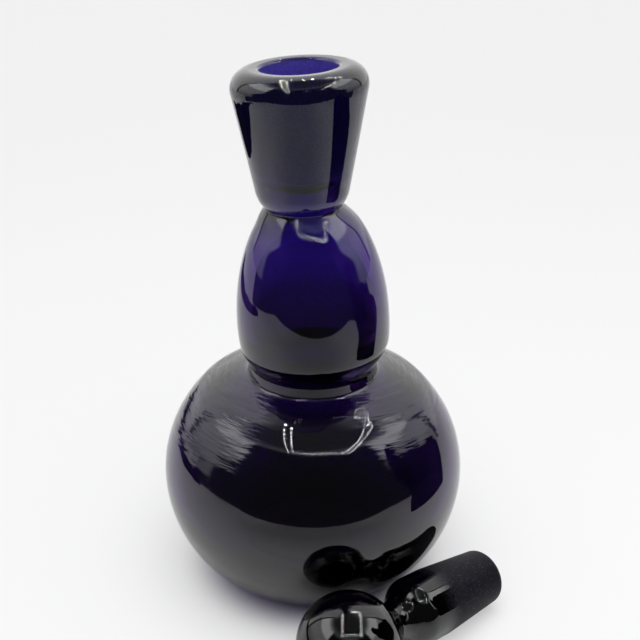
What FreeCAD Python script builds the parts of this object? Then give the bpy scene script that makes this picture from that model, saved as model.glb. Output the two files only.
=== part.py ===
"""Hand-blown dark blue glass bottle with its ground-glass stopper lying beside it.

Millimetres, +Z up. The origin is the centre of the base, on the plane that the bottle stands on. The front is
towards -Y. Each form of the bottle is turned about its own axis, because the hand-made neck leans to one side.
"""
import FreeCAD, Part
import math
import os

Vector = FreeCAD.Vector
Z_AXIS = Vector(0, 0, 1)

# Round body
BODY_R = 55.0
BODY_CENTRE_Z = 42.0
BODY_ABOVE = 48.8
BODY_BELOW = 50.3
BODY_WALL = 4.5
BASE_GLASS = 8.0
HEEL_FILLET = 4.0
PUNT_R = 17.0
PUNT_RISE = 3.0

# Waist between the body and the bulb
WAIST_R = 22.9
WAIST_FILLET = 0.8
WAIST_BORE_R = 14.0

# Egg-shaped bulb
BULB_R = 26.7
BULB_CENTRE_X = 0.35
BULB_RISE = 10.1
BULB_ABOVE = 48.9
BULB_BELOW = 45.0
HEEL_DROP = 8.2
HEEL_ROUND = 1.0
UNDERCUT_HEIGHT = 8.8
UNDERCUT_DEG = 31.0
BULB_WALL = 5.0
BULB_HOLLOW_BELOW = 17.3
BULB_CROWN_GLASS = 11.0
BULB_LEAN_DEG = 3.0

# Flared neck, in its own leaning frame, whose origin is where the neck leaves the bulb
NECK_SINK = 7.3
NECK_FOOT_X = -3.0
NECK_LEAN_DEG = 1.6
NECK_FOOT_R = 14.4
NECK_FOOT_ROUND = 12.0
NECK_FOOT_RISE = 7.0
NECK_FOOT_SWEEP_DEG = 55.0
NECK_FLARE_DEG = 10.8
NECK_HEIGHT = 47.1
NECK_BORE_R = 6.5
LIP_ROUND = 6.0
LIP_TOP_DROP = 0.8
MOUTH_EDGE_ROUND = 1.4

# Ground taper shared by the neck's socket and the stopper's plug
PLUG_LARGE_R = 11.9
PLUG_LENGTH = 25.0
PLUG_TAPER_DEG = 4.6
PLUG_END_ROUND = 3.0
GRIND_CLEARANCE = 0.06
SEAT_BELOW_RIM = 5.5
SOCKET_RUNOUT = 4.0

# Stopper, measured along its axis from the centre of the ball towards the plug
BALL_R = 17.4
STEM_R = 7.0
STEM_ROUND = 7.0
SHOULDER_ROUND = 7.0
SHOULDER_LENGTH = 9.0

# Where the stopper lies beside the body
STOPPER_TURN_DEG = 40.6
STOPPER_BESIDE = 5.55
BALL_BACK = 36.0

# Gap up to which glass that meets runs together
MELT_TOLERANCE = 0.0001

# Heights that follow from the sizes above
BULB_CENTRE_Z = BODY_CENTRE_Z + BODY_ABOVE + BULB_RISE
NECK_FOOT_Z = BULB_CENTRE_Z + BULB_ABOVE - NECK_SINK


def point(radius, height):
    """A point of an outline, in the XZ half plane."""
    return Vector(radius, 0, height)


def point_off_seam(radius, height):
    """The same point a quarter turn on, clear of the seam of a turned face."""
    return Vector(0, radius, height)


def line(start, end):
    return Part.LineSegment(start, end).toShape()


def on_arc(centre, radius, degrees):
    """The point of a circle at an angle from +X towards +Z."""
    turn = math.radians(degrees)
    return centre + Vector(radius * math.cos(turn), 0, radius * math.sin(turn))


def arc_about(centre, radius, from_deg, to_deg):
    half_way = (from_deg + to_deg) / 2
    return Part.Arc(*(on_arc(centre, radius, turn) for turn in (from_deg, half_way, to_deg))).toShape()


def quarter_ellipse(centre_z, across, along, end=None):
    """Quarter of an ellipse, from its widest point up to the axis for along > 0 or down to it, or as far as an end."""
    rise = abs(along)
    widest, pole, centre = point(across, centre_z), point(0, centre_z + along), point(0, centre_z)
    long_end, short_end = (pole, widest) if rise > across else (widest, pole)
    ellipse = Part.Ellipse(long_end, short_end, centre)
    first, last = sorted((ellipse.parameter(widest), ellipse.parameter(end or pole)))
    if last - first > math.pi:
        first, last = last, first + 2 * math.pi
    return ellipse.toShape(first, last)


def turned(edges):
    """Solid turned about Z from an outline that starts and ends on the axis."""
    ordered = Part.__sortEdges__(edges)
    wire = Part.Wire(ordered)
    ends = [v.Point for v in wire.OrderedVertexes]
    closed = Part.Wire(ordered + [line(ends[-1], ends[0])])
    return Part.Face(closed).revolve(Vector(0, 0, 0), Z_AXIS, 360)


def spheroid(centre_z, across, above, below):
    return turned([
        quarter_ellipse(centre_z, across, above),
        quarter_ellipse(centre_z, across, -below),
    ])


def column(radius, bottom_z, top_z):
    return Part.makeCylinder(radius, top_z - bottom_z, Vector(0, 0, bottom_z))


def edge_at(shape, place):
    """The shape's edge that passes nearest to a place."""
    mark = Part.Vertex(place)
    return min(shape.Edges, key=lambda edge: edge.distToShape(mark)[0])


def leaning(shape, pivot, degrees):
    """The shape tipped towards -X about a pivot."""
    tipped = shape.copy()
    tipped.rotate(pivot, Vector(0, 1, 0), -degrees)
    return tipped


# Bottle

def base_r():
    """Radius at which the round body meets the plane that it stands on."""
    return BODY_R * math.sqrt(1 - (BODY_CENTRE_Z / BODY_BELOW) ** 2)


def waist_meets_body_z():
    return BODY_CENTRE_Z + BODY_ABOVE * math.sqrt(1 - (WAIST_R / BODY_R) ** 2)


def body_form():
    """Round body with its standing ring, hollowed punt and the waist that rises into the bulb."""
    globe = spheroid(BODY_CENTRE_Z, BODY_R, BODY_ABOVE, BODY_BELOW)
    above_table = column(2 * BODY_R, 0, BODY_CENTRE_Z + 2 * BODY_ABOVE)
    globe = globe.common(above_table)
    globe = globe.fuse(column(WAIST_R, BODY_CENTRE_Z, BULB_CENTRE_Z)).removeSplitter()
    globe = globe.makeFillet(WAIST_FILLET, [edge_at(globe, point_off_seam(WAIST_R, waist_meets_body_z()))])
    globe = globe.makeFillet(HEEL_FILLET, [edge_at(globe, point_off_seam(base_r(), 0))])
    punt_ball_r = (PUNT_R ** 2 + PUNT_RISE ** 2) / (2 * PUNT_RISE)
    punt = Part.makeSphere(punt_ball_r, Vector(0, 0, PUNT_RISE - punt_ball_r))
    return globe.cut(punt)


def body_hollow():
    across = BODY_R - BODY_WALL
    above = BODY_ABOVE - BODY_WALL
    below = BODY_CENTRE_Z - BASE_GLASS
    throat = column(WAIST_BORE_R, BODY_CENTRE_Z, BULB_CENTRE_Z)
    return spheroid(BODY_CENTRE_Z, across, above, below).fuse(throat)


def on_body(shape):
    """A shape of the bulb, moved to where the leaning bulb stands on the body."""
    placed = shape.copy()
    placed.translate(Vector(BULB_CENTRE_X, 0, 0))
    return leaning(placed, Vector(BULB_CENTRE_X, 0, BULB_CENTRE_Z), BULB_LEAN_DEG)


def bulb_form():
    """Egg with a nearly upright side, whose heel turns in under it to the waist."""
    heel = point(BULB_R * math.sqrt(1 - (HEEL_DROP / BULB_BELOW) ** 2), BULB_CENTRE_Z - HEEL_DROP)
    foot = heel - point(UNDERCUT_HEIGHT * math.tan(math.radians(UNDERCUT_DEG)), UNDERCUT_HEIGHT)
    egg = turned([
        quarter_ellipse(BULB_CENTRE_Z, BULB_R, BULB_ABOVE),
        quarter_ellipse(BULB_CENTRE_Z, BULB_R, -BULB_BELOW, heel),
        line(heel, foot),
        line(foot, point(0, foot.z)),
    ])
    return egg.makeFillet(HEEL_ROUND, [edge_at(egg, point_off_seam(heel.x, heel.z))])


def bulb_hollow():
    return spheroid(BULB_CENTRE_Z, BULB_R - BULB_WALL, BULB_ABOVE - BULB_CROWN_GLASS, BULB_HOLLOW_BELOW)


def on_neck(shape):
    """A shape of the neck's own frame, where the neck stands on the bulb."""
    placed = shape.copy()
    placed.translate(Vector(NECK_FOOT_X, 0, NECK_FOOT_Z))
    return leaning(placed, Vector(NECK_FOOT_X, 0, NECK_FOOT_Z), NECK_LEAN_DEG)


def socket_radius_at(depth):
    """Radius of the ground socket at a depth below the rim."""
    return PLUG_LARGE_R + GRIND_CLEARANCE + (SEAT_BELOW_RIM - depth) * math.tan(math.radians(PLUG_TAPER_DEG))


def flare_r(height):
    """Outer radius of the neck's straight flare at a height in the neck's frame."""
    return NECK_FOOT_R + height * math.tan(math.radians(NECK_FLARE_DEG))


def foot_centre():
    """Centre of the neck's rounded foot, which runs into the flare."""
    return point(flare_r(NECK_FOOT_RISE), NECK_FOOT_RISE) - on_arc(point(0, 0), NECK_FOOT_ROUND, -NECK_FLARE_DEG)


def lip_centre():
    """Centre of the rolled lip, which touches the flare and the top."""
    height = NECK_HEIGHT - LIP_ROUND
    return point(flare_r(height) - LIP_ROUND / math.cos(math.radians(NECK_FLARE_DEG)), height)


def neck_form():
    """Flared neck: a rounded foot in the bulb's crown, a straight flare and a thick rolled lip."""
    foot, lip = foot_centre(), lip_centre()
    foot_start = on_arc(foot, NECK_FOOT_ROUND, -NECK_FOOT_SWEEP_DEG)
    return turned([
        line(point(0, foot_start.z), foot_start),
        arc_about(foot, NECK_FOOT_ROUND, -NECK_FOOT_SWEEP_DEG, -NECK_FLARE_DEG),
        line(on_arc(foot, NECK_FOOT_ROUND, -NECK_FLARE_DEG), on_arc(lip, LIP_ROUND, -NECK_FLARE_DEG)),
        arc_about(lip, LIP_ROUND, -NECK_FLARE_DEG, 90),
        line(point(lip.x, NECK_HEIGHT), point(0, NECK_HEIGHT - LIP_TOP_DROP)),
    ])


def mouth_edge():
    """Where the ground socket meets the top of the lip, which falls a little towards the mouth."""
    taper = math.tan(math.radians(PLUG_TAPER_DEG))
    lip = lip_centre()
    radius = socket_radius_at(LIP_TOP_DROP) / (1 - LIP_TOP_DROP * taper / lip.x)
    return point_off_seam(radius, NECK_HEIGHT - LIP_TOP_DROP * (1 - radius / lip.x))


def neck_hollow():
    """Ground socket with an eased mouth edge, and the passage below it down into the bulb."""
    socket_depth = SEAT_BELOW_RIM + PLUG_LENGTH + SOCKET_RUNOUT
    above_rim = LIP_ROUND
    socket_bottom = point(socket_radius_at(socket_depth), NECK_HEIGHT - socket_depth)
    socket_top = point(socket_radius_at(-above_rim), NECK_HEIGHT + above_rim)
    run_in = socket_bottom.x - NECK_BORE_R
    passage_foot = BULB_CENTRE_Z - NECK_FOOT_Z
    return turned([
        line(point(0, passage_foot), point(NECK_BORE_R, passage_foot)),
        line(point(NECK_BORE_R, passage_foot), point(NECK_BORE_R, socket_bottom.z - run_in)),
        line(point(NECK_BORE_R, socket_bottom.z - run_in), socket_bottom),
        line(socket_bottom, socket_top),
        line(socket_top, point(0, socket_top.z)),
    ])


def make_bottle():
    glass = body_form().multiFuse([on_body(bulb_form()), on_neck(neck_form())], MELT_TOLERANCE)
    hollow = body_hollow().fuse([on_body(bulb_hollow()), on_neck(neck_hollow())])
    bottle = glass.cut(hollow).removeSplitter()
    mouth = on_neck(Part.Vertex(mouth_edge())).Point
    return bottle.makeFillet(MOUTH_EDGE_ROUND, [edge_at(bottle, mouth)])


# Stopper, turned about Z with the ball's centre at the origin and the plug upwards

def stem_centre():
    """Centre of the stem's hollow curve, which touches the ball."""
    out = STEM_R + STEM_ROUND
    return point(out, math.sqrt((BALL_R + STEM_ROUND) ** 2 - out ** 2))


def shoulder_centre():
    """Centre of the shoulder's curve, which touches the stem's curve and the shoulder's straight side."""
    stem = stem_centre()
    across = PLUG_LARGE_R - SHOULDER_ROUND
    reach = STEM_ROUND + SHOULDER_ROUND
    return point(across, stem.z + math.sqrt(reach ** 2 - (stem.x - across) ** 2))


def plug_start_z():
    return shoulder_centre().z + SHOULDER_LENGTH


def toward(start, end):
    """Angle of the direction from start to end, in degrees from +X towards +Z."""
    return math.degrees(math.atan2(end.z - start.z, end.x - start.x))


def plug_end_centre():
    """Centre of the rounded edge at the plug's small end."""
    taper = math.radians(PLUG_TAPER_DEG)
    across = PLUG_LARGE_R - PLUG_LENGTH * math.tan(taper) - PLUG_END_ROUND * math.cos(taper)
    return point(across, plug_start_z() + PLUG_LENGTH - PLUG_END_ROUND * math.sin(taper))


def make_stopper_upright():
    taper = math.radians(PLUG_TAPER_DEG)
    ball, stem, shoulder, end = point(0, 0), stem_centre(), shoulder_centre(), plug_end_centre()
    plug_start = point(PLUG_LARGE_R, plug_start_z())
    end_side = end + Vector(PLUG_END_ROUND * math.cos(taper), 0, PLUG_END_ROUND * math.sin(taper))
    end_top = end + Vector(0, 0, PLUG_END_ROUND)
    return turned([
        arc_about(ball, BALL_R, -90, toward(ball, stem)),
        arc_about(stem, STEM_ROUND, 180 + toward(ball, stem), toward(stem, shoulder)),
        arc_about(shoulder, SHOULDER_ROUND, toward(stem, shoulder) - 180, 0),
        line(point(PLUG_LARGE_R, shoulder.z), plug_start),
        line(plug_start, end_side),
        arc_about(end, PLUG_END_ROUND, PLUG_TAPER_DEG, 90),
        line(end_top, point(0, end_top.z)),
    ])


def dip_onto(centre, rounding):
    """Dip of the lying axis, in degrees, that rests the ball and a rounded edge about that centre on one plane."""
    reach = math.hypot(centre.x, centre.z)
    return math.degrees(math.asin((BALL_R - rounding) / reach) - math.atan2(centre.x, centre.z))


def lying_dip():
    """The first of the plug's two edges to touch down carries it."""
    return min(
        dip_onto(point(PLUG_LARGE_R, plug_start_z()), 0),
        dip_onto(plug_end_centre(), PLUG_END_ROUND),
    )


def make_stopper():
    """The stopper as it lies beside the bottle, with its plug pointing back and to the right."""
    stopper = make_stopper_upright()
    stopper.rotate(Vector(0, 0, 0), Vector(0, 1, 0), 90 + lying_dip())
    stopper.translate(Vector(-BALL_BACK, -(BODY_R + STOPPER_BESIDE), BALL_R))
    stopper.rotate(Vector(0, 0, 0), Z_AXIS, STOPPER_TURN_DEG)
    return stopper


def main():
    os.makedirs("parts", exist_ok=True)
    for name, shape in (("bottle", make_bottle()), ("stopper", make_stopper())):
        shape.exportStep(f"parts/{name}.step")
        box = shape.BoundBox
        print(name, "valid", shape.isValid(), "solids", len(shape.Solids), "volume", round(shape.Volume, 1),
              "z", round(box.ZMin, 3), round(box.ZMax, 3))


main()
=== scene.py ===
"""Dark blue hand-blown bottle with its ground stopper lying beside it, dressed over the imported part.

Metres, in the part's own frame: +Z up, the front towards -Y, the origin at the centre of the base.
"""
import math

import bpy
from bpy.props import FloatProperty, FloatVectorProperty, IntProperty, PointerProperty
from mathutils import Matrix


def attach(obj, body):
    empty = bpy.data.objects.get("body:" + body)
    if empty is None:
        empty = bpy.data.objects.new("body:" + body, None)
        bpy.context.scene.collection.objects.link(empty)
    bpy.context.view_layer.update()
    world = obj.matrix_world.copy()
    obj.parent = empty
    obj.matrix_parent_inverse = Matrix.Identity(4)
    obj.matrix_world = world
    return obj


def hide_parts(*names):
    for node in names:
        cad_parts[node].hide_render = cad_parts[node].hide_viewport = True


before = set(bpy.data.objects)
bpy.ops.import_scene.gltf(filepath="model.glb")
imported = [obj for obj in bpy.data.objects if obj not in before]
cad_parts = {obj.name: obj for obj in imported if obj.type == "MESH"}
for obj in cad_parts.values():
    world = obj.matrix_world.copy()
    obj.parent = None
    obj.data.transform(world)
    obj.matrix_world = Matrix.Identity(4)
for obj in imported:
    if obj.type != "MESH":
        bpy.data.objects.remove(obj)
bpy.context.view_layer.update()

bl_info = {
    "name": "Stoppered Glass Bottle",
    "version": (1, 0, 0),
    "blender": (4, 5, 0),
    "location": "View3D > Sidebar > Bottle",
    "description": "Makes a blown glass bottle, its ground stopper and a light tent around them",
    "category": "Add Mesh",
}

MM = 0.001


def length(name, description, millimetres):
    return FloatProperty(name=name, description=description, default=millimetres * MM, unit="LENGTH",
                         precision=4)


def angle(name, description, degrees):
    return FloatProperty(name=name, description=description, default=math.radians(degrees), subtype="ANGLE")


def colour(name, description, value):
    return FloatVectorProperty(name=name, description=description, default=value, subtype="COLOR", size=3,
                               min=0.0, max=1.0)


def amount(name, description, value, unit="NONE"):
    return FloatProperty(name=name, description=description, default=value, unit=unit)


def number(name, description, value, least):
    return IntProperty(name=name, description=description, default=value, min=least)


def table_place(name, description, millimetres):
    """Two lengths on the table, across and along the view."""
    return FloatVectorProperty(name=name, description=description, size=2, unit="LENGTH",
                               default=tuple(MM * value for value in millimetres))


# Settings

class BottleSettings(bpy.types.PropertyGroup):
    """Sizes and glass of the bottle."""
    body_r: length("Body radius", "Widest radius of the round body", 55.0)
    body_centre: length("Body centre", "Height of the body's widest ring", 42.0)
    body_above: length("Body above", "Rise of the body above its widest ring", 48.8)
    body_below: length("Body below", "Fall of the body's curve below its widest ring", 50.3)
    body_wall: length("Body wall", "Glass in the side of the body", 4.5)
    base_glass: length("Base glass", "Height of the inner floor above the table", 8.0)
    heel_round: length("Heel", "Rounding between the body and its base ring", 4.0)
    punt_r: length("Punt radius", "Radius of the shallow hollow in the base", 17.0)
    punt_rise: length("Punt rise", "Depth of the shallow hollow in the base", 3.0)
    shoulder_dip: length("Shoulder dip", "How much lower the body lies close to the waist", 4.6)
    collar_round: length("Collar rounding", "Softness with which the body runs up into the waist", 3.0)
    waist_r: length("Waist radius", "Outer radius between the body and the bulb", 22.9)
    waist_turn: length("Waist turn", "Height below which the waist spreads", 85.8)
    waist_flare: angle("Waist flare", "How the waist spreads towards the body", 6.0)
    waist_bore: length("Waist passage", "Inner radius between the body and the bulb", 14.0)
    bulb_r: length("Bulb radius", "Widest radius of the egg-shaped bulb", 26.7)
    bulb_x: length("Bulb offset", "Sideways place of the bulb's widest ring", 0.35)
    bulb_centre: length("Bulb centre", "Height of the bulb's widest ring", 100.9)
    bulb_above: length("Bulb above", "Rise of the bulb above its widest ring", 48.9)
    bulb_below: length("Bulb below", "Fall of the curve of the bulb's side, if it went on to the axis", 45.0)
    bulb_heel: length("Bulb heel", "Depth of the bulb's lower edge below its widest ring", 8.2)
    bulb_heel_round: length("Bulb heel rounding", "Rounding of the bulb's lower edge", 1.0)
    undercut: angle("Undercut", "How the bulb turns in below its lower edge", 31.0)
    hollow_below: length("Hollow below", "Fall of the bulb's hollow below its widest ring", 17.3)
    bulb_wall: length("Bulb wall", "Glass in the side of the bulb", 5.0)
    bulb_crown: length("Bulb crown", "Glass at the top of the bulb", 11.0)
    bulb_lean: angle("Bulb lean", "How far the bulb tips to the left", 3.0)
    neck_foot: length("Neck foot", "Height at which the neck leaves the bulb", 142.5)
    neck_x: length("Neck offset", "Sideways place of the neck's foot", -3.0)
    neck_lean: angle("Neck lean", "How far the neck tips to the left", 1.2)
    neck_foot_r: length("Neck foot radius", "Radius of the neck's flare at its foot", 14.4)
    neck_foot_round: length("Neck foot rounding", "Rounding of the neck's foot", 12.0)
    neck_foot_rise: length("Neck foot rise", "Height at which the rounding runs into the flare", 7.0)
    neck_flare: angle("Neck flare", "Half angle of the flared neck", 10.8)
    neck_height: length("Neck height", "Height of the neck from its foot to the lip", 47.1)
    neck_bore: length("Neck passage", "Inner radius at the foot of the neck", 6.5)
    lip_round: length("Lip rounding", "Rounding of the thick lip", 6.2)
    lip_drop: length("Lip fall", "Fall of the lip's top towards the mouth", 0.8)
    lip_tilt: angle("Lip tilt", "How far the lip's top tips past the neck's own lean", 1.9)
    mouth_round: length("Mouth edge", "Rounding of the edge of the mouth", 1.4)
    socket_r: length("Socket radius", "Radius of the ground socket at the rim", 12.4)
    socket_taper: angle("Socket taper", "Half angle of the ground socket", 4.6)
    socket_depth: length("Socket depth", "Depth of the ground socket below the rim", 34.5)
    crease: length("Crease", "Softness of the creases at the waist and below the neck", 0.8)
    wobble: length("Wobble", "Unevenness left by blowing", 0.22)
    segments: number("Segments", "Divisions round the axis", 208, 24)
    body_tint: colour("Body tint", "Light that the skin of the body lets through", (0.11, 0.06, 0.23))
    bulb_tint: colour("Bulb tint", "Light that the skin of the bulb lets through", (0.24, 0.11, 0.74))
    neck_tint: colour("Neck tint", "Light that the skin of the neck lets through", (0.16, 0.11, 0.50))
    ground_tint: colour("Socket tint", "Colour of the ground socket", (0.08, 0.052, 0.64))
    depth_colour: colour("Depth colour", "Colour that the glass keeps with depth", (0.325, 0.17, 0.445))
    depth: amount("Depth", "How fast the glass darkens, per metre", 200.0)


class StopperSettings(bpy.types.PropertyGroup):
    """Sizes, place and glass of the stopper."""
    ball_r: length("Ball radius", "Radius of the ball that the fingers hold", 17.4)
    stem_r: length("Stem radius", "Thinnest radius, below the ball", 7.0)
    stem_round: length("Stem rounding", "Hollow curve of the stem", 7.0)
    shoulder_round: length("Shoulder rounding", "Rounding of the polished shoulder", 7.0)
    shoulder_length: length("Shoulder length", "Length of the polished shoulder's straight side", 9.0)
    plug_r: length("Plug radius", "Radius of the ground plug's large end", 11.9)
    plug_length: length("Plug length", "Length of the ground plug", 25.0)
    plug_taper: angle("Plug taper", "Half angle of the ground plug", 4.6)
    plug_end_round: length("Plug end", "Rounding of the plug's small end", 3.0)
    ball_x: length("Place across", "Sideways place of the ball on the table", 12.1)
    ball_y: length("Place ahead", "Place of the ball in front of the bottle", -69.4)
    turn: angle("Turn", "Direction of the plug, from the right towards the back", 40.6)
    wobble: length("Wobble", "Unevenness left by shaping", 0.1)
    segments: number("Segments", "Divisions round the axis", 160, 24)
    tint: colour("Tint", "Light that the stopper lets through", (0.02, 0.018, 0.04))
    ground_tint: colour("Ground tint", "Colour of the ground plug", (0.005, 0.005, 0.009))
    speck_tint: colour("Speck tint", "Colour of the bright specks in the ground plug", (0.07, 0.07, 0.09))
    depth_colour: colour("Depth colour", "Colour that the glass keeps with depth", (0.325, 0.17, 0.445))
    depth: amount("Depth", "How fast the glass darkens, per metre", 200.0)


class StageSettings(bpy.types.PropertyGroup):
    """Table, light tent and camera."""
    table: colour("Table", "Colour of the white table", (0.93, 0.93, 0.935))
    # Painted light: blue light that falls through the glass, painted as violet into the table's colour round
    # the bottle's foot
    table_glow: colour("Table glow", "Colour of the light that falls through the glass", (0.60, 0.52, 0.84))
    # Painted light: for the camera the table glows in its own colour beyond the bottle's foot, which makes
    # its shadows paler
    shadow_lift: amount("Shadow lift", "How much paler the camera sees the shadows", 0.5)
    table_front: length("Table front", "Where the table ends in front, as the glass mirrors it", -335.0)
    sky: amount("Tent light", "Light of the tent on the table", 0.91)
    horizon: amount("Horizon", "Brightness behind the far edge of the table", 0.82)
    lamp: amount("Lamp", "Power of the soft lamp overhead", 0.55, "POWER")
    wall: amount("Wall", "Brightness of the tent's side walls in the glass", 1.45)
    back: amount("Back", "Brightness of the tent's back in the glass", 1.25)
    ceiling: amount("Ceiling", "Brightness of the tent's top in the glass", 0.15)
    room: amount("Room", "Brightness of the open front in the glass", 0.05)
    ring_x: length("Light frame across", "Sideways place of the light frame", 46.0)
    ring_y: length("Light frame ahead", "Place of the light frame along the view", -85.0)
    ring_z: length("Light frame height", "Height of the light frame", 400.0)
    ring_width: length("Light frame width", "Width of the light frame", 285.0)
    ring_depth: length("Light frame depth", "Depth of the light frame", 390.0)
    ring_count: number("Lights", "Small lights round the frame", 44, 8)
    ring_dot: length("Light size", "Radius of one small light", 2.6)
    ring_glow: amount("Light glow", "Brightness of one small light", 130.0)
    ring_spread: amount("Light frame spread", "How much wider the frame is in front than behind", 0.4)
    ring_inset: length("Second row", "How far the second row of lights lies inside the first", 24.0)
    right_card: table_place("Right card", "Place of the dark card on the right", (175.0, -24.0))
    left_card: table_place("Left card", "Place of the dark card on the left", (-310.0, 110.0))
    camera_x: length("Camera across", "Sideways place of the camera", 2.64)
    camera_y: length("Camera ahead", "Place of the camera in front", -315.5)
    camera_z: length("Camera height", "Height of the camera", 254.9)
    camera_down: angle("Camera pitch", "How far the camera looks down", 25.99)
    camera_lens: amount("Lens", "Focal length on the sensor, in millimetres", 56.25)


# Node graphs

class Wire:
    """A node's output, which takes part in sums as a number does."""

    def __init__(self, graph, socket):
        self.graph = graph
        self.socket = socket

    def out(self, name):
        """Another output of the same node."""
        return Wire(self.graph, self.socket.node.outputs[name])

    def maths(self, operation, *values):
        return self.graph.node("ShaderNodeMath", {"operation": operation}, dict(enumerate(values)))

    def __add__(self, other):
        return self.maths("ADD", self, other)

    __radd__ = __add__

    def __mul__(self, other):
        return self.maths("MULTIPLY", self, other)

    __rmul__ = __mul__

    def __sub__(self, other):
        return self.maths("SUBTRACT", self, other)

    def __rsub__(self, other):
        return self.maths("SUBTRACT", other, self)

    def __truediv__(self, other):
        return self.maths("DIVIDE", self, other)

    def __neg__(self):
        return self.maths("MULTIPLY", self, -1.0)

    def above(self, limit):
        return self.maths("GREATER_THAN", self, limit)

    def power(self, exponent):
        return self.maths("POWER", self, exponent)

    def size(self):
        return self.maths("ABSOLUTE", self)

    def floor(self):
        return self.maths("FLOOR", self)

    def cosine(self):
        return self.maths("COSINE", self)

    def sine(self):
        return self.maths("SINE", self)

    def larger(self, other):
        return self.maths("MAXIMUM", self, other)

    def smaller(self, other):
        return self.maths("MINIMUM", self, other)

    def ramp(self, low, high, start=0.0, end=1.0):
        """Soft step from start to end as this goes from low to high."""
        settings = {"interpolation_type": "SMOOTHSTEP", "clamp": True}
        return self.graph.node("ShaderNodeMapRange", settings, {
            "Value": self, "From Min": low, "From Max": high, "To Min": start, "To Max": end})


class Graph:
    """A node tree that is filled by one method."""
    # Places of the two colours and of their mix among the sockets of a Mix node
    MIX_FIRST, MIX_SECOND, MIX_RESULT = 6, 7, 2

    def __init__(self, tree):
        self.tree = tree

    def node(self, kind, settings=None, inputs=None):
        """Adds a node, sets its settings, then its sockets, and returns its first output that is in use."""
        node = self.tree.nodes.new(kind)
        for key, value in (settings or {}).items():
            setattr(node, key, value)
        for key, value in (inputs or {}).items():
            socket = self.find(node.inputs, key)
            if isinstance(value, Wire):
                self.tree.links.new(value.socket, socket)
            else:
                socket.default_value = value
        outputs = [socket for socket in node.outputs if socket.enabled]
        return Wire(self, outputs[0]) if outputs else node

    @staticmethod
    def find(sockets, key):
        """The socket of that number, or the one in use of that name."""
        if isinstance(key, int):
            return sockets[key]
        return next(socket for socket in sockets if socket.name == key and socket.enabled)

    def mix(self, factor, first, second):
        """Mix of two colours."""
        first, second = (value if isinstance(value, Wire) else (*value, 1.0) for value in (first, second))
        mixed = self.node("ShaderNodeMix", {"data_type": "RGBA"},
                          {0: factor, self.MIX_FIRST: first, self.MIX_SECOND: second})
        return Wire(self, mixed.socket.node.outputs[self.MIX_RESULT])


def noise(g, vector, scale, detail=2.0, roughness=0.5, distortion=0.0):
    return g.node("ShaderNodeTexNoise", {"noise_dimensions": "3D"}, {
        "Vector": vector, "Scale": scale, "Detail": detail, "Roughness": roughness, "Distortion": distortion})


def new_material(name):
    material = bpy.data.materials.new(name)
    material.use_nodes = True
    material.node_tree.nodes.clear()
    return material, Graph(material.node_tree)


def finish_material(g, surface, volume=None):
    shaders = {"Surface": surface, "Volume": volume} if volume else {"Surface": surface}
    g.node("ShaderNodeOutputMaterial", None, shaders)


def new_tree(name, inputs):
    """Graph of a new tree of geometry nodes, and what its inputs are given."""
    tree = bpy.data.node_groups.new(name, "GeometryNodeTree")
    tree.is_modifier = True
    tree.interface.new_socket("Geometry", in_out="INPUT", socket_type="NodeSocketGeometry")
    for key, kind in inputs.items():
        tree.interface.new_socket(key, in_out="INPUT", socket_type="NodeSocket" + kind)
    tree.interface.new_socket("Geometry", in_out="OUTPUT", socket_type="NodeSocketGeometry")
    g = Graph(tree)
    return g, g.node("NodeGroupInput")


def finish_tree(g, given, made):
    """Ends a tree in plain faces of the given material."""
    made = g.node("GeometryNodeRealizeInstances", None, {"Geometry": made})
    made = g.node("GeometryNodeSetMaterial", None, {"Geometry": made, "Material": given.out("Material")})
    g.node("NodeGroupOutput", None, {"Geometry": made})
    return g.tree


# Outlines, as lists of (radius, height)

def arc(centre, radius, start, end, steps):
    """Circular arc from one angle to another, in degrees from outwards towards upwards."""
    points = []
    for step in range(steps + 1):
        turn = math.radians(start + (end - start) * step / steps)
        points.append((centre[0] + radius * math.cos(turn), centre[1] + radius * math.sin(turn)))
    return points


def run(start, end, steps):
    """Straight run, without its first point."""
    return [(start[0] + (end[0] - start[0]) * step / steps, start[1] + (end[1] - start[1]) * step / steps)
            for step in range(1, steps + 1)]


def soft_max(first, second, width):
    """The larger of two numbers, rounded where they cross."""
    overlap = max(width - abs(first - second), 0.0)
    return max(first, second) + overlap * overlap / (4.0 * width)


def oval(height, centre, across, above, below):
    """Radius of an egg shape at a height, or 0 outside it."""
    reach = above if height > centre else below
    share = 1.0 - ((height - centre) / reach) ** 2
    return across * math.sqrt(share) if share > 0.0 else 0.0


def smooth(value, low, high):
    """Soft step from 0 to 1 as a value goes from low to high."""
    share = min(max((value - low) / (high - low), 0.0), 1.0)
    return share * share * (3.0 - 2.0 * share)


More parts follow.
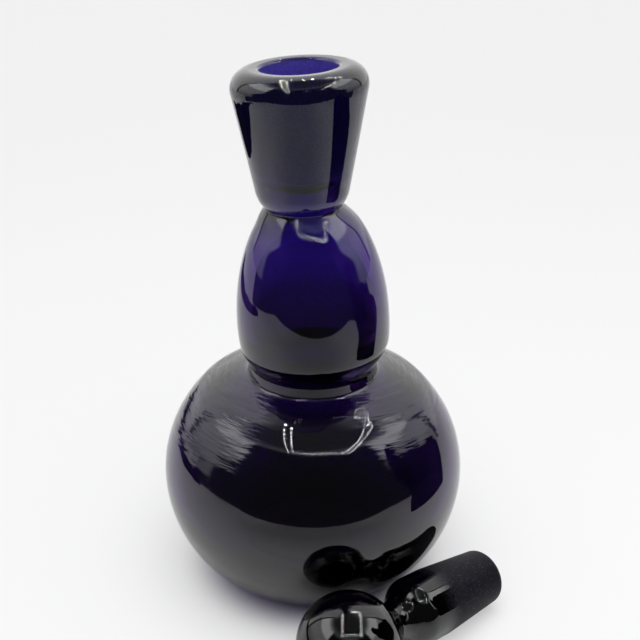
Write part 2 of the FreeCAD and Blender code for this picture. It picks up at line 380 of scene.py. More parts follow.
class BottleShape:
    """Outline of the bottle, and the lean of its axis at each height."""
    # How far below the waist the shoulder starts to dip, and where the dip is full
    DIP_START, DIP_FULL = 13.0 * MM, 3.0 * MM
    # How far below the bulb's widest ring its lean is full, as a share of the hollow's fall
    LEAN_SHARE = 0.3
    # How far below and above the neck's foot the axis goes over to the neck's
    NECK_BELOW, NECK_ABOVE = 6.0 * MM, 3.0 * MM
    # Share of the neck's height above which the lip's tilt starts
    TILT_SHARE = 0.55
    # Start, rise and bulge of the heel's curve, as shares of its rounding
    HEEL_IN, HEEL_UP, HEEL_OUT = 0.75, 0.65, 0.1
    # Softness of the creases in the lower hollow, as a multiple of those outside
    HOLLOW_CREASE = 3.0
    # Spans with closer points, about the bulb's widest ring and about the neck's foot
    WAIST_SPAN = (-21.0 * MM, -4.0 * MM)
    FOOT_SPAN = (-3.0 * MM, 10.0 * MM)
    # Rise of the inner floor at its edge
    FLOOR_RISE = 1.2 * MM
    # Depths over which the grinding starts below the rim, and ends about the socket's depth
    GROUND_START = (0.4 * MM, 1.6 * MM)
    GROUND_END = (-5.0 * MM, 4.0 * MM)
    # Divisions of each stretch of the outline
    STEPS = {"punt": 10, "base": 6, "heel": 8, "body": 100, "waist": 60, "bulb": 50, "foot": 26, "neck": 24,
             "lip": 18, "rim": 5, "mouth": 7, "hollow": 110, "floor": 8}

    def __init__(self, s):
        self.s = s

    def flare(self, rise):
        return self.s.neck_foot_r + rise * math.tan(self.s.neck_flare)

    def neck(self, height):
        """Outer radius of the neck, with its rounded foot."""
        s = self.s
        rise = height - s.neck_foot
        if rise >= s.neck_foot_rise:
            return self.flare(rise)
        centre_r = self.flare(s.neck_foot_rise) - s.neck_foot_round * math.cos(s.neck_flare)
        centre_z = s.neck_foot_rise + s.neck_foot_round * math.sin(s.neck_flare)
        share = s.neck_foot_round ** 2 - (rise - centre_z) ** 2
        return centre_r + math.sqrt(share) if share > 0.0 and rise > -s.neck_foot_rise else 0.0

    def body(self, height):
        """Outer radius of the body, which lies lower close to the waist."""
        s = self.s
        waist_z = s.body_centre + s.body_above * math.sqrt(1.0 - (s.waist_r / s.body_r) ** 2)
        dip = s.shoulder_dip * smooth(height, waist_z - self.DIP_START, waist_z - self.DIP_FULL)
        return oval(height + dip, s.body_centre, s.body_r, s.body_above, s.body_below)

    def bulb(self, height):
        """Outer radius of the bulb, which turns in below its lower edge."""
        s = self.s
        side = oval(height, s.bulb_centre, s.bulb_r, s.bulb_above, s.bulb_below)
        heel_z = s.bulb_centre - s.bulb_heel
        heel_r = oval(heel_z, s.bulb_centre, s.bulb_r, s.bulb_above, s.bulb_below)
        under = heel_r + (height - heel_z) * math.tan(s.undercut)
        return max(-soft_max(-side, -under, s.bulb_heel_round), 0.0)

    def outside(self, height):
        s = self.s
        waist = 0.0
        if s.body_centre < height < s.bulb_centre:
            waist = s.waist_r + max(s.waist_turn - height, 0.0) * math.tan(s.waist_flare)
        lower = soft_max(self.body(height), waist, s.collar_round)
        return soft_max(soft_max(lower, self.bulb(height), s.crease), self.neck(height), s.crease)

    def socket(self, height):
        """Radius of the ground socket, and of the cone that ends it."""
        s = self.s
        depth = s.neck_foot + s.neck_height - height
        run_in = s.socket_r - s.socket_depth * math.tan(s.socket_taper) - s.neck_bore
        if depth < s.socket_depth:
            return s.socket_r - depth * math.tan(s.socket_taper)
        return max(s.neck_bore + run_in - (depth - s.socket_depth), 0.0)

    def inside(self, height):
        s = self.s
        body = oval(height, s.body_centre, s.body_r - s.body_wall, s.body_above - s.body_wall,
                    s.body_centre - s.base_glass)
        throat = s.waist_bore if s.body_centre < height < s.bulb_centre else 0.0
        bulb = oval(height, s.bulb_centre, s.bulb_r - s.bulb_wall, s.bulb_above - s.bulb_crown,
                    s.hollow_below)
        passage = s.neck_bore if height > s.bulb_centre else 0.0
        crease = self.HOLLOW_CREASE * s.crease
        lower = soft_max(soft_max(body, throat, crease), bulb, crease)
        return soft_max(soft_max(lower, passage, s.crease), self.socket(height), s.crease)

    def lean(self, height):
        """Sideways place and tip of the axis at a height."""
        s = self.s
        bulb = s.bulb_x - (height - s.bulb_centre) * math.tan(s.bulb_lean)
        neck = s.neck_x - (height - s.neck_foot) * math.tan(s.neck_lean)
        on_bulb = smooth(height, s.bulb_centre - s.hollow_below,
                         s.bulb_centre - self.LEAN_SHARE * s.hollow_below)
        on_neck = smooth(height, s.neck_foot - self.NECK_BELOW, s.neck_foot + self.NECK_ABOVE)
        on_lip = smooth(height, s.neck_foot + self.TILT_SHARE * s.neck_height, s.neck_foot + s.neck_height)
        place = on_bulb * bulb * (1.0 - on_neck) + on_neck * neck
        tip = on_bulb * s.bulb_lean * (1.0 - on_neck) + on_neck * s.neck_lean + on_lip * s.lip_tilt
        return place, tip

    def lip(self):
        """Centre of the lip's rounding: its radius, and its height above the neck's foot."""
        s = self.s
        rise = s.neck_height - s.lip_round
        return self.flare(rise) - s.lip_round / math.cos(s.neck_flare), rise

    def base_points(self):
        """From the middle of the base to the top of the heel."""
        s = self.s
        punt_ball = (s.punt_r ** 2 + s.punt_rise ** 2) / (2.0 * s.punt_rise)
        punt_half = math.degrees(math.asin(s.punt_r / punt_ball))
        points = arc((0.0, s.punt_rise - punt_ball), punt_ball, 90.0, 90.0 - punt_half, self.STEPS["punt"])
        base_r = self.outside(0.0)
        points += run(points[-1], (base_r - self.HEEL_IN * s.heel_round, 0.0), self.STEPS["base"])
        heel = self.HEEL_UP * s.heel_round
        start, end = points[-1], (self.outside(heel), heel)
        corner = (base_r + self.HEEL_OUT * s.heel_round, 0.0)
        for step in range(1, self.STEPS["heel"] + 1):
            t = step / self.STEPS["heel"]
            points.append(tuple((1 - t) ** 2 * a + 2 * t * (1 - t) * b + t * t * c
                                for a, b, c in zip(start, corner, end)))
        return points

    def side_points(self):
        """From the heel up the outside, to just below the lip."""
        s = self.s
        _, lip_rise = self.lip()
        low = self.HEEL_UP * s.heel_round
        points = []
        for high, stretch in ((s.bulb_centre + self.WAIST_SPAN[0], "body"),
                              (s.bulb_centre + self.WAIST_SPAN[1], "waist"),
                              (s.neck_foot + self.FOOT_SPAN[0], "bulb"),
                              (s.neck_foot + self.FOOT_SPAN[1], "foot"),
                              (s.neck_foot + lip_rise - s.lip_round * math.sin(s.neck_flare), "neck")):
            points += [(self.outside(z), z) for _, z in run((0.0, low), (0.0, high), self.STEPS[stretch])]
            low = high
        return points[:-1]

    def rim_points(self):
        """Over the lip and the edge of the mouth."""
        s = self.s
        top = s.neck_foot + s.neck_height
        lip_r, _ = self.lip()
        points = arc((lip_r, top - s.lip_round), s.lip_round, -math.degrees(s.neck_flare), 90.0,
                     self.STEPS["lip"])
        edge_r = s.socket_r + s.mouth_round
        edge_z = top - s.lip_drop * (1.0 - edge_r / lip_r)
        points += run(points[-1], (edge_r, edge_z), self.STEPS["rim"])
        points += arc((edge_r, edge_z - s.mouth_round), s.mouth_round, 90.0,
                      180.0 - math.degrees(s.socket_taper), self.STEPS["mouth"])[1:]
        return points

    def hollow_points(self, start):
        """From a height down the inside, to the middle of the inner floor."""
        s = self.s
        floor = s.base_glass + self.FLOOR_RISE
        points = [(self.inside(z), z) for _, z in run((0.0, start), (0.0, floor), self.STEPS["hollow"])]
        floor_r = points[-1][0]
        for step in range(1, self.STEPS["floor"] + 1):
            share = 1.0 - step / self.STEPS["floor"]
            points.append((floor_r * share, s.base_glass + self.FLOOR_RISE * share ** 2))
        return points

    def outline(self):
        """From the middle of the base, up the outside, over the lip and down to the inner floor."""
        points = self.base_points() + self.side_points() + self.rim_points()
        return points + self.hollow_points(points[-1][1])

    def ground(self, height, inside):
        """1 on the ground wall of the socket, 0 elsewhere."""
        s = self.s
        depth = s.neck_foot + s.neck_height - height
        start, end = (s.socket_depth + reach for reach in self.GROUND_END)
        return float(inside) * smooth(depth, *self.GROUND_START) * (1.0 - smooth(depth, start, end))


class StopperShape:
    """Outline of the stopper, from the top of the ball to the end of the plug."""
    # Stretch about the plug's large end over which the grinding starts
    GROUND_START = (-6.0 * MM, 3.0 * MM)
    # Divisions of each stretch of the outline
    STEPS = {"ball": 60, "stem": 16, "shoulder": 16, "side": 10, "plug": 30, "plug_round": 12, "end": 8}

    def __init__(self, s):
        self.s = s
        out = s.stem_r + s.stem_round
        self.stem = (out, math.sqrt((s.ball_r + s.stem_round) ** 2 - out ** 2))
        across = s.plug_r - s.shoulder_round
        reach = s.stem_round + s.shoulder_round
        self.shoulder = (across, self.stem[1] + math.sqrt(reach ** 2 - (self.stem[0] - across) ** 2))
        self.plug_start = self.shoulder[1] + s.shoulder_length
        taper = s.plug_taper
        self.end = (s.plug_r - s.plug_length * math.tan(taper) - s.plug_end_round * math.cos(taper),
                    self.plug_start + s.plug_length - s.plug_end_round * math.sin(taper))

    def outline(self):
        s, steps = self.s, self.STEPS
        to_stem = math.degrees(math.atan2(self.stem[1], self.stem[0]))
        to_shoulder = math.degrees(math.atan2(self.shoulder[1] - self.stem[1],
                                              self.shoulder[0] - self.stem[0]))
        taper = math.degrees(s.plug_taper)
        points = arc((0.0, 0.0), s.ball_r, -90.0, to_stem, steps["ball"])
        points += arc(self.stem, s.stem_round, 180.0 + to_stem, to_shoulder, steps["stem"])[1:]
        points += arc(self.shoulder, s.shoulder_round, to_shoulder - 180.0, 0.0, steps["shoulder"])[1:]
        points += run(points[-1], (s.plug_r, self.plug_start), steps["side"])
        side = (self.end[0] + s.plug_end_round * math.cos(s.plug_taper),
                self.end[1] + s.plug_end_round * math.sin(s.plug_taper))
        points += run(points[-1], side, steps["plug"])
        points += arc(self.end, s.plug_end_round, taper, 90.0, steps["plug_round"])[1:]
        points += run(points[-1], (0.0, self.end[1] + s.plug_end_round), steps["end"])
        return points

    def dip(self):
        """Dip of the lying axis, with the ball and the first edge of the plug on the table."""
        s = self.s

        def onto(centre, rounding):
            reach = math.hypot(*centre)
            return math.asin((s.ball_r - rounding) / reach) - math.atan2(*centre)

        return min(onto((s.plug_r, self.plug_start), 0.0), onto(self.end, s.plug_end_round))

    def ground(self, height):
        """1 on the ground plug, 0 elsewhere."""
        start, end = (self.plug_start + reach for reach in self.GROUND_START)
        return smooth(height, start, end)


# Turned glass

# Unevenness: its change per metre of height, and the radius from which it is full
WOBBLE_RISE, WOBBLE_FULL = 45.0, 12.0 * MM
# Points closer than this become one, at the seam and at the poles
SEAM = 0.001 * MM


def turning_tree():
    """Geometry nodes that turn an outline about its own leaning axis."""
    tree = bpy.data.node_groups.get("turned_glass")
    if tree:
        return tree
    g, given = new_tree("turned_glass", {
        "Segments": "Int", "Wobble": "Float", "Seed": "Float", "Rotation": "Rotation", "Place": "Vector",
        "Material": "Material"})
    outline, segments = given.out("Geometry"), given.out("Segments")
    rows = g.node("GeometryNodeAttributeDomainSize", {"component": "MESH"},
                  {"Geometry": outline}).out("Point Count")
    columns = segments + 1.0
    grid = g.node("GeometryNodeMeshGrid", None, {"Vertices X": rows, "Vertices Y": columns})
    index = g.node("GeometryNodeInputIndex")
    row = ((index + 0.5) / columns).floor()
    turn = (index - row * columns) / segments * (2.0 * math.pi)

    def sampled(kind, value):
        return g.node("GeometryNodeSampleIndex", {"data_type": kind, "domain": "POINT"},
                      {"Geometry": outline, "Value": value, "Index": row})

    def attribute(name):
        return g.node("GeometryNodeInputNamedAttribute", {"data_type": "FLOAT"}, {"Name": name})

    point = g.node("ShaderNodeSeparateXYZ", None,
                   {0: sampled("FLOAT_VECTOR", g.node("GeometryNodeInputPosition"))})
    radius, height = point.out("X"), point.out("Z")
    axis_x = sampled("FLOAT", attribute("axis_x"))
    tip = sampled("FLOAT", attribute("axis_tip"))
    across, along = turn.cosine(), turn.sine()
    around = g.node("ShaderNodeCombineXYZ", None,
                    {0: across, 1: along, 2: height * WOBBLE_RISE + given.out("Seed")})
    waves = noise(g, around, scale=0.9, detail=1.0, roughness=0.4) - 0.5
    eased = (radius / WOBBLE_FULL).smaller(1.0)
    uneven = radius + waves * given.out("Wobble") * eased
    reach = uneven * across
    place = g.node("ShaderNodeCombineXYZ", None, {
        0: axis_x + reach * tip.cosine(), 1: uneven * along, 2: height + reach * tip.sine()})
    glass = g.node("GeometryNodeSetPosition", None, {"Geometry": grid, "Position": place})
    glass = g.node("GeometryNodeStoreNamedAttribute", {"data_type": "FLOAT", "domain": "POINT"},
                   {"Geometry": glass, "Name": "ground", "Value": sampled("FLOAT", attribute("ground"))})
    glass = g.node("GeometryNodeMergeByDistance", None, {"Geometry": glass, "Distance": SEAM})
    glass = g.node("GeometryNodeTransform", None,
                   {"Geometry": glass, "Translation": given.out("Place"), "Rotation": given.out("Rotation")})
    glass = g.node("GeometryNodeSetShadeSmooth", None, {"Geometry": glass})
    return finish_tree(g, given, glass)


def new_object(name, data):
    """An object in the scene, at the origin."""
    made = bpy.data.objects.new(name, data)
    bpy.context.scene.collection.objects.link(made)
    return made


def set_inputs(modifier, values):
    """Sets a modifier's inputs by the sockets' identifiers."""
    for item in modifier.node_group.interface.items_tree:
        if item.item_type == "SOCKET" and item.in_out == "INPUT" and item.name in values:
            modifier[item.identifier] = values[item.name]


def outline_object(name, points, columns):
    """A wire along an outline, with a number of each column at every point."""
    mesh = bpy.data.meshes.new(name)
    mesh.from_pydata([(radius, 0.0, height) for radius, height in points],
                     [(i, i + 1) for i in range(len(points) - 1)], [])
    for key, values in columns.items():
        mesh.attributes.new(key, "FLOAT", "POINT").data.foreach_set("value", values)
    return new_object(name, mesh)


def plain_mesh(made, values, tree):
    """Runs a tree on an object and keeps the result as its mesh."""
    modifier = made.modifiers.new("shape", "NODES")
    modifier.node_group = tree
    set_inputs(modifier, values)
    seen = made.evaluated_get(bpy.context.evaluated_depsgraph_get())
    mesh = bpy.data.meshes.new_from_object(seen)
    made.modifiers.remove(modifier)
    drawn, made.data = made.data, mesh
    bpy.data.meshes.remove(drawn)
    mesh.name = made.name
    return made


def enclosed(mesh):
    """Volume inside a closed mesh, below 0 where its faces point inwards."""
    mesh.calc_loop_triangles()
    total = 0.0
    for triangle in mesh.loop_triangles:
        a, b, c = (mesh.vertices[i].co for i in triangle.vertices)
        total += a.dot(b.cross(c))
    return total / 6.0


def outward(made):
    """Turns the faces of a closed piece outwards."""
    if enclosed(made.data) < 0.0:
        made.data.flip_normals()
    if enclosed(made.data) <= 0.0:
        raise RuntimeError(made.name + " has no inside")
    return made


# Glass

GLASS_IOR = 1.58
# Tool marks: slant of their rings, rate per metre, twist round the axis and rate of change round it
MARK_SLANT, MARK_RATE, MARK_TWIST, MARK_TURN = 0.8, 340.0, (1.9, 2.6), 2.2
# Heights over which the marks start and end, and the least radius that they reckon with
MARK_START, MARK_END, MARK_LEAST_R = (52.0 * MM, 72.0 * MM), (84.0 * MM, 79.0 * MM), 4.0 * MM
# How the marks grow from the front of the shoulder to its sides
MARK_SIDES = (0.30, 0.62, 0.03, 1.0)
# Heights over which the tint goes over to the bulb's and to the neck's, and how far they stray
BULB_TINT_SPAN, NECK_TINT_SPAN, TINT_STRAY = (102.0 * MM, 130.0 * MM), (134.0 * MM, 152.0 * MM), 6.0 * MM
# Scratched ring on which the bottle stands: its height and its roughness
WORN_HEIGHT, WORN_ROUGHNESS = 1.2 * MM, 0.35
# Darkest grain of the socket, as a share of its colour
SOCKET_SHADE = 0.6


def tool_marks(g, spot):
    """Fine slanting rings that tools leave on the turning glass, in patches at the sides of the shoulder."""
    way = g.node("ShaderNodeSeparateXYZ", None, {0: spot})
    x, y, z = way.out("X"), way.out("Y"), way.out("Z")
    reach = (x * x + y * y).power(0.5).larger(MARK_LEAST_R)
    across, along = x / reach, y / reach
    climb = (z - reach * MARK_SLANT) * MARK_RATE + across * MARK_TWIST[0] + along * MARK_TWIST[1]
    around = g.node("ShaderNodeCombineXYZ", None, {0: across * MARK_TURN, 1: along * MARK_TURN, 2: climb})
    rings = noise(g, around, scale=1.0, detail=3.0, roughness=0.55)
    shoulder = z.ramp(*MARK_START) * z.ramp(*MARK_END)
    patches = noise(g, spot, scale=26.0).ramp(0.34, 0.52) * across.size().larger(along).ramp(*MARK_SIDES)
    return rings * shoulder * patches


def bump(g, height):
    return g.node("ShaderNodeBump", None, {"Strength": 1.0, "Distance": 1.0, "Height": height})


def polished_bump(g, spot, waves, marks=0.0):
    """Gentle waves of blown glass, and tool marks."""
    height = noise(g, spot, scale=48.0, detail=1.0, roughness=0.4) * waves
    if marks:
        height = height + tool_marks(g, spot) * marks
    return bump(g, height)


def ground_bump(g, spot):
    """Tooth of ground glass."""
    return bump(g, noise(g, spot, scale=2200.0, roughness=0.7) * (0.12 * MM))


def smudges(g, spot):
    """Roughness of handled glass: clear, with faint wiped marks and dust."""
    patches = noise(g, spot, scale=46.0, detail=5.0, roughness=0.62, distortion=1.1)
    return patches.ramp(0.48, 0.78, 0.0, 0.016)


def glass_shader(g, tint, roughness, normal, clear=1.0, gloss=0.5):
    return g.node("ShaderNodeBsdfPrincipled", {"distribution": "MULTI_GGX"}, {
        "Base Color": tint, "Roughness": roughness, "IOR": GLASS_IOR, "Specular IOR Level": gloss,
        "Transmission Weight": clear, "Normal": normal})


def finish_glass(g, s, polished, frosted):
    """Polished glass that is frosted where it is ground and darkens with depth."""
    ground = g.node("ShaderNodeAttribute", {"attribute_name": "ground"}).out("Fac")
    surface = g.node("ShaderNodeMixShader", None, {0: ground, 1: polished, 2: frosted})
    depth = g.node("ShaderNodeVolumeAbsorption", None, {"Color": (*s.depth_colour, 1.0), "Density": s.depth})
    finish_material(g, surface, depth)


def bottle_glass(s):
    """Blue glass that is clearer in the bulb and the neck, with a frosted socket and a worn base."""
    material, g = new_material("cobalt_bottle_glass")
    spot = g.node("ShaderNodeTexCoord").out("Object")
    height = g.node("ShaderNodeSeparateXYZ", None, {0: spot}).out("Z")
    drawn = height + (noise(g, spot, scale=20.0) - 0.5) * TINT_STRAY
    tint = g.mix(drawn.ramp(*BULB_TINT_SPAN), s.body_tint, s.bulb_tint)
    tint = g.mix(drawn.ramp(*NECK_TINT_SPAN), tint, s.neck_tint)
    worn = height.ramp(WORN_HEIGHT, 0.0, 0.0, WORN_ROUGHNESS)
    polished = glass_shader(g, tint, smudges(g, spot) + worn,
                            polished_bump(g, spot, waves=0.07 * MM, marks=0.45 * MM))
    grain = noise(g, spot, scale=1500.0, roughness=0.7).ramp(0.35, 0.75)
    dark = tuple(SOCKET_SHADE * value for value in s.ground_tint)
    frosted = glass_shader(g, g.mix(grain, dark, s.ground_tint), 0.6, ground_bump(g, spot),
                           clear=0.4, gloss=0.3)
    finish_glass(g, s, polished, frosted)
    return material


def stopper_glass(s):
    """Nearly black glass, with a frosted plug full of fine bright specks."""
    material, g = new_material("cobalt_stopper_glass")
    spot = g.node("ShaderNodeTexCoord").out("Object")
    polished = glass_shader(g, (*s.tint, 1.0), smudges(g, spot), polished_bump(g, spot, waves=0.04 * MM))
    specks = noise(g, spot, scale=1700.0, detail=3.0, roughness=0.7).ramp(0.56, 0.74)
    frosted = glass_shader(g, g.mix(specks, s.ground_tint, s.speck_tint), 0.5, ground_bump(g, spot),
                           clear=0.0, gloss=0.075)
    finish_glass(g, s, polished, frosted)
    return material


# Stage

WHITE = (1.0, 1.0, 1.0, 1.0)
# Half the width of the table
TABLE_HALF = 6.0
# Dullest grain of the table, as a share of its colour
TABLE_DULL = 0.975
# Distances from the bottle's axis over which the blue light painted on the table fades, with its strength,
# and over which the table's shadows are painted paler
GLOW_SPAN, GLOW_SHARE, LIFT_SPAN = (48.0 * MM, 32.0 * MM), 0.8, (32.0 * MM, 54.0 * MM)
# Where the mirrored table ends at the sides, and the slant of that edge towards the back
TABLE_SIDE, TABLE_SIDE_SLANT = 460.0 * MM, 0.12
# Where the mirrored table starts to dim, the share of the way to its front edge that ends it, and how much
DIM_START, DIM_END, DIM_SHARE = -50.0 * MM, 0.6, 0.5
# How that dimming goes down towards the sides
DIM_SIDES = (60.0 * MM, 240.0 * MM, 1.0, 0.4)

# Tent: what points up is 1, level is 0; what faces the open front is 1, the back -1
OPENING_EDGE, OPENING_SOFT, OPENING_TOP = (0.18, 0.46, 0.12, 0.44), (-0.05, 0.06), (0.90, 0.76)
BACK_EDGE, BACK_TOP, CEILING_EDGE = (-0.40, -0.62), (0.97, 0.85), (0.78, 0.90)
# Light of the walls from their foot upwards, and a bright band on them
WALL_LIGHT, BAND_LIGHT, BAND_START, BAND_END = (0.0, 0.35, 0.40, 0.85), 1.3, (0.50, 0.60), (0.84, 0.74)
# Dark seam between the walls and the back
SEAM_FACING, SEAM_SPAN = 0.5, (0.015, 0.05, 0.15, 1.0)
# Light on the table: how it gathers overhead, its strength there and all round, and more from the front
OVERHEAD_POWER, OVERHEAD_LIGHT, ROUND_LIGHT, FRONT_LIGHT = 6.0, 3.2, 0.2, 0.7

# Least length of a direction's level part, for directions straight up
LEAST_LEVEL = 0.01

# Corners of one small light
LIGHT_CORNERS = 8
# Width of the soft lamp, and its height as a multiple of the light frame's
LAMP_SIZE, LAMP_RISE = 0.4, 1.2
# Width of the camera's sensor in millimetres, and the nearest that it sees
SENSOR, CAMERA_NEAR = 36.0, 10.0 * MM

# Outlines of the dark cards, across and up in millimetres, and their share of the open front's brightness
DARK_CARDS = {
    "right_card": ((-52, -20), (-62, 20), (-50, 45), (-66, 70), (-80, 95), (-76, 120), (-86, 150), (-74, 178),
                   (-56, 184), (-42, 165), (-46, 138), (-30, 122), (-8, 130), (14, 118), (30, 96), (52, 92),
                   (72, 70), (64, 45), (50, 22), (42, -20)),
    "left_card": ((-250, -10), (-255, 40), (-200, 46), (-150, 36), (-90, 42), (-40, 28), (10, 34), (60, 24),
                  (110, 30), (160, 22), (172, -10)),
}
CARD_SHARE = 0.2


def table_material(s):
    """White table with painted light: blue light that falls through the glass is painted round the bottle's
    foot, and its shadows are painted paler for the camera. The glass mirrors it only as far as its front edge
    and its sides.
    """
    material, g = new_material("white_table")
    spot = g.node("ShaderNodeTexCoord").out("Object")
    across = g.node("ShaderNodeSeparateXYZ", None, {0: spot}).out("X")
    ahead = across.out("Y")
    away = (across * across + ahead * ahead).power(0.5)
    dull = tuple(TABLE_DULL * value for value in s.table)
    grain = g.mix(noise(g, spot, scale=5.0, detail=3.0), s.table, dull)
    # Painted light: violet mixed into the table's colour near the bottle's foot stands for blue light falling
    # through the glass
    cloth_and_painted_glow = g.mix(away.ramp(*GLOW_SPAN, 0.0, GLOW_SHARE), grain, s.table_glow)
    white = g.node("ShaderNodeBsdfPrincipled", None,
                   {"Base Color": cloth_and_painted_glow, "Roughness": 0.9, "Specular IOR Level": 0.0})
    aside = across.size()
    past_edge = (s.table_front - ahead).above(0.0)
    past_side = aside.above(TABLE_SIDE) * (aside * TABLE_SIDE_SLANT - ahead).above(0.0)
    dimmer = ahead.ramp(DIM_START, DIM_END * s.table_front, 0.0, DIM_SHARE) * aside.ramp(*DIM_SIDES)
    path = g.node("ShaderNodeLightPath")
    hidden = path.out("Is Glossy Ray") * past_edge.larger(past_side).larger(dimmer)
    dark = g.node("ShaderNodeEmission", None, {"Color": WHITE, "Strength": s.room})
    mirrored = g.node("ShaderNodeMixShader", None, {0: hidden, 1: white, 2: dark})
    # Painted light: for camera rays the table glows in its own colour, more with distance from the axis,
    # which pales its shadows
    lift = path.out("Is Camera Ray") * away.ramp(*LIFT_SPAN, 0.0, s.shadow_lift)
    pale = g.node("ShaderNodeEmission", None, {"Color": (*s.table, 1.0), "Strength": 1.0})
    finish_material(g, g.node("ShaderNodeMixShader", None, {0: lift, 1: mirrored, 2: pale}))
    return material


def glowing(name, strength):
    """Material that only gives light."""
    material, g = new_material(name)
    finish_material(g, g.node("ShaderNodeEmission", None, {"Strength": strength}))
    return material


def light_frame_tree():
    """Geometry nodes for two rows of small lights, one inside the other, that spread towards the front."""
    g, given = new_tree("light_frame", {
        "Width": "Float", "Depth": "Float", "Lights": "Int", "Light Size": "Float", "Second Row": "Float",
        "Spread": "Float", "Place": "Vector", "Material": "Material"})
    dot = g.node("GeometryNodeMeshCircle", {"fill_type": "NGON"},
                 {"Vertices": LIGHT_CORNERS, "Radius": given.out("Light Size")})
    flat = g.node("ShaderNodeSeparateXYZ", None, {0: g.node("GeometryNodeInputPosition")})
    ahead = flat.out("Y")
    wider = 1.0 - ahead / given.out("Depth") * given.out("Spread")
    widened = g.node("ShaderNodeCombineXYZ", None, {0: flat * wider, 1: ahead})

    def row(inset):
        edge = g.node("GeometryNodeCurvePrimitiveQuadrilateral", {"mode": "RECTANGLE"},
                      {"Width": given.out("Width") - inset * 2.0, "Height": given.out("Depth") - inset * 2.0})
        spaced = g.node("GeometryNodeResampleCurve", {"mode": "COUNT"},
                        {"Curve": edge, "Count": given.out("Lights")})
        spaced = g.node("GeometryNodeSetPosition", None, {"Geometry": spaced, "Position": widened})
        return g.node("GeometryNodeInstanceOnPoints", None, {"Points": spaced, "Instance": dot})

    lights = g.node("GeometryNodeJoinGeometry")
    for made in (row(given.out("Second Row")), row(0.0)):
        g.tree.links.new(made.socket, lights.socket.node.inputs[0])
    lights = g.node("GeometryNodeTransform", None, {"Geometry": lights, "Translation": given.out("Place")})
    return finish_tree(g, given, lights)


def light_frame(s):
    """Frame of small lights above the table."""
    wire = new_object("light_frame", bpy.data.meshes.new("light_frame"))
    return plain_mesh(wire, {
        "Width": s.ring_width, "Depth": s.ring_depth, "Lights": s.ring_count, "Light Size": s.ring_dot,
        "Second Row": s.ring_inset, "Spread": s.ring_spread, "Place": (s.ring_x, s.ring_y, s.ring_z),
        "Material": glowing("small_light", s.ring_glow)}, light_frame_tree())


def tent_world(s):
    """White tent, open in front: light on the table, and walls and a dark opening in the glass."""
    world = bpy.data.worlds.new("light_tent")
    world.use_nodes = True
    world.node_tree.nodes.clear()
    g = Graph(world.node_tree)
    way = g.node("ShaderNodeSeparateXYZ", None, {0: g.node("ShaderNodeTexCoord").out("Generated")})
    y, z = way.out("Y"), way.out("Z")
    level = (1.0 - z * z).larger(LEAST_LEVEL ** 2).power(0.5)
    facing = -y / level
    opening = (facing - z.ramp(*OPENING_EDGE)).ramp(*OPENING_SOFT) * z.ramp(*OPENING_TOP)
    back = facing.ramp(*BACK_EDGE) * z.ramp(*BACK_TOP)
    ceiling = z.ramp(*CEILING_EDGE)
    side = (1.0 - opening) * (1.0 - back) * (1.0 - ceiling)
    lit = z.ramp(*WALL_LIGHT) + z.ramp(*BAND_START) * z.ramp(*BAND_END) * BAND_LIGHT
    seam = (facing + SEAM_FACING).size().ramp(*SEAM_SPAN)
    seen = (side * lit * s.wall + back * s.back) * seam + ceiling * s.ceiling + opening * s.room
    above = (z.power(OVERHEAD_POWER) * OVERHEAD_LIGHT + ROUND_LIGHT) * (1.0 - y * FRONT_LIGHT)
    path = g.node("ShaderNodeLightPath")
    camera = path.out("Is Camera Ray")
    mirrored = path.out("Is Glossy Ray").larger(path.out("Is Transmission Ray"))
    plain = camera * s.horizon + (1.0 - camera) * above * s.sky
    strength = mirrored * seen + (1.0 - mirrored) * plain
    shade = g.node("ShaderNodeBackground", None, {"Color": WHITE, "Strength": strength})
    g.node("ShaderNodeOutputWorld", None, {"Surface": shade})
    return world


def flat_piece(name, corners, material):
    """One flat face of the stage."""
    mesh = bpy.data.meshes.new(name)
    mesh.from_pydata(corners, [], [range(len(corners))])
    mesh.materials.append(material)
    return new_object(name, mesh)


def rounded(points, times=3, cut=0.25):
    """Cuts the corners off a closed outline, time after time, by a share of its sides."""
    for _ in range(times):
        following = (*points[1:], points[0])
        points = [tuple((1.0 - share) * a + share * b for a, b in zip(start, end))
                  for start, end in zip(points, following) for share in (cut, 1.0 - cut)]
    return points


def dark_card(name, place, glow):
    """Upright dark card that faces the bottle and gives the glass an edge."""
    x, y = place
    away = math.hypot(x, y)
    corners = [(x - y * across * MM / away, y + x * across * MM / away, height * MM)
               for across, height in rounded(DARK_CARDS[name])]
    return flat_piece(name, corners, glowing(name, glow))


def only_mirrored(made):
    """Keeps a thing of the stage to its reflection in the glass."""
    made.visible_camera = False
    made.visible_diffuse = False
    made.visible_transmission = False
    made.visible_shadow = False


def hang_lamp(s):
    """Soft square lamp that points straight down and isn't mirrored in the glass."""
    data = bpy.data.lights.new("soft_lamp", "AREA")
    data.shape = "SQUARE"
    data.size = LAMP_SIZE
    data.energy = s.lamp
    lamp = new_object("soft_lamp", data)
    lamp.location = (s.ring_x, s.ring_y, LAMP_RISE * s.ring_z)
    lamp.visible_glossy = False
    lamp.visible_transmission = False
    lamp.visible_camera = False


def aimed_camera(s):
    data = bpy.data.cameras.new("camera")
    data.sensor_width = SENSOR
    data.lens = s.camera_lens
    data.clip_start = CAMERA_NEAR
    camera = new_object("camera", data)
    camera.location = (s.camera_x, s.camera_y, s.camera_z)
    camera.rotation_euler = (math.pi / 2.0 - s.camera_down, 0.0, 0.0)
    return camera


# Operators

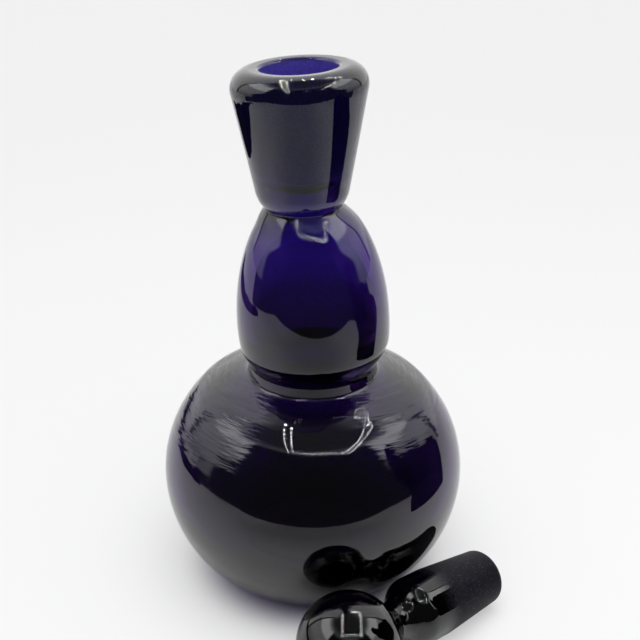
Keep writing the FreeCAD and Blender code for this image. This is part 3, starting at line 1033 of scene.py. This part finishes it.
class BOTTLE_OT_blow_bottle(bpy.types.Operator):
    """Turn the hollow bottle from its outline and give it its glass"""
    bl_idname = "bottle.blow_bottle"
    bl_label = "Blow Bottle"

    def execute(self, context):
        s = context.scene.bottle_settings
        shape = BottleShape(s)
        points = shape.outline()
        mouth = max(range(len(points)), key=lambda i: points[i][1])
        leans = [shape.lean(height) for _, height in points]
        wire = outline_object("bottle_glass_body", points, {
            "axis_x": [place for place, _ in leans],
            "axis_tip": [tip for _, tip in leans],
            "ground": [shape.ground(height, i > mouth) for i, (_, height) in enumerate(points)]})
        made = outward(plain_mesh(wire, {
            "Segments": s.segments, "Wobble": s.wobble, "Seed": 3.7, "Rotation": (0.0, 0.0, 0.0),
            "Place": (0.0, 0.0, 0.0), "Material": bottle_glass(s)}, turning_tree()))
        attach(made, "bottle")
        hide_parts("bottle")
        return {"FINISHED"}


class BOTTLE_OT_grind_stopper(bpy.types.Operator):
    """Turn the stopper, lay it beside the bottle and grind its plug"""
    bl_idname = "bottle.grind_stopper"
    bl_label = "Grind Stopper"

    def execute(self, context):
        s = context.scene.stopper_settings
        shape = StopperShape(s)
        points = shape.outline()
        straight = [0.0] * len(points)
        wire = outline_object("stopper_glass_body", points, {
            "axis_x": straight, "axis_tip": straight,
            "ground": [shape.ground(height) for _, height in points]})
        made = outward(plain_mesh(wire, {
            "Segments": s.segments, "Wobble": s.wobble, "Seed": 11.2,
            "Rotation": (0.0, math.pi / 2.0 + shape.dip(), s.turn),
            "Place": (s.ball_x, s.ball_y, s.ball_r), "Material": stopper_glass(s)}, turning_tree()))
        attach(made, "stopper")
        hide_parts("stopper")
        return {"FINISHED"}


class BOTTLE_OT_set_stage(bpy.types.Operator):
    """Lay the white table, put up the light tent and place the camera"""
    bl_idname = "bottle.set_stage"
    bl_label = "Set Stage"

    def execute(self, context):
        s = context.scene.stage_settings
        half = TABLE_HALF
        corners = [(-half, -half, 0.0), (half, -half, 0.0), (half, half, 0.0), (-half, half, 0.0)]
        table = flat_piece("table", corners, table_material(s))
        only_mirrored(light_frame(s))
        for name in DARK_CARDS:
            only_mirrored(dark_card(name, getattr(s, name), CARD_SHARE * s.room))
        hang_lamp(s)
        context.scene.world = tent_world(s)
        context.scene.view_settings.view_transform = "Standard"
        context.scene.camera = aimed_camera(s)
        return {"FINISHED"}


class BOTTLE_PT_sidebar(bpy.types.Panel):
    """Sizes, colours and steps of the bottle"""
    bl_idname = "BOTTLE_PT_sidebar"
    bl_label = "Stoppered Bottle"
    bl_space_type = "VIEW_3D"
    bl_region_type = "UI"
    bl_category = "Bottle"

    def draw(self, context):
        steps = ((BOTTLE_OT_blow_bottle, "bottle_settings"), (BOTTLE_OT_grind_stopper, "stopper_settings"),
                 (BOTTLE_OT_set_stage, "stage_settings"))
        for step, group in steps:
            box = self.layout.box()
            box.operator(step.bl_idname)
            settings = getattr(context.scene, group)
            for key in settings.__annotations__:
                box.prop(settings, key)


GROUPS = {"bottle_settings": BottleSettings, "stopper_settings": StopperSettings,
          "stage_settings": StageSettings}
CLASSES = (*GROUPS.values(), BOTTLE_OT_blow_bottle, BOTTLE_OT_grind_stopper, BOTTLE_OT_set_stage,
           BOTTLE_PT_sidebar)


def register():
    for cls in CLASSES:
        bpy.utils.register_class(cls)
    for name, group in GROUPS.items():
        setattr(bpy.types.Scene, name, PointerProperty(type=group))


def unregister():
    for name in GROUPS:
        delattr(bpy.types.Scene, name)
    for cls in reversed(CLASSES):
        bpy.utils.unregister_class(cls)


def main():
    register()
    bpy.ops.bottle.blow_bottle()
    bpy.ops.bottle.grind_stopper()
    bpy.ops.bottle.set_stage()


if __name__ == "__main__":
    main()
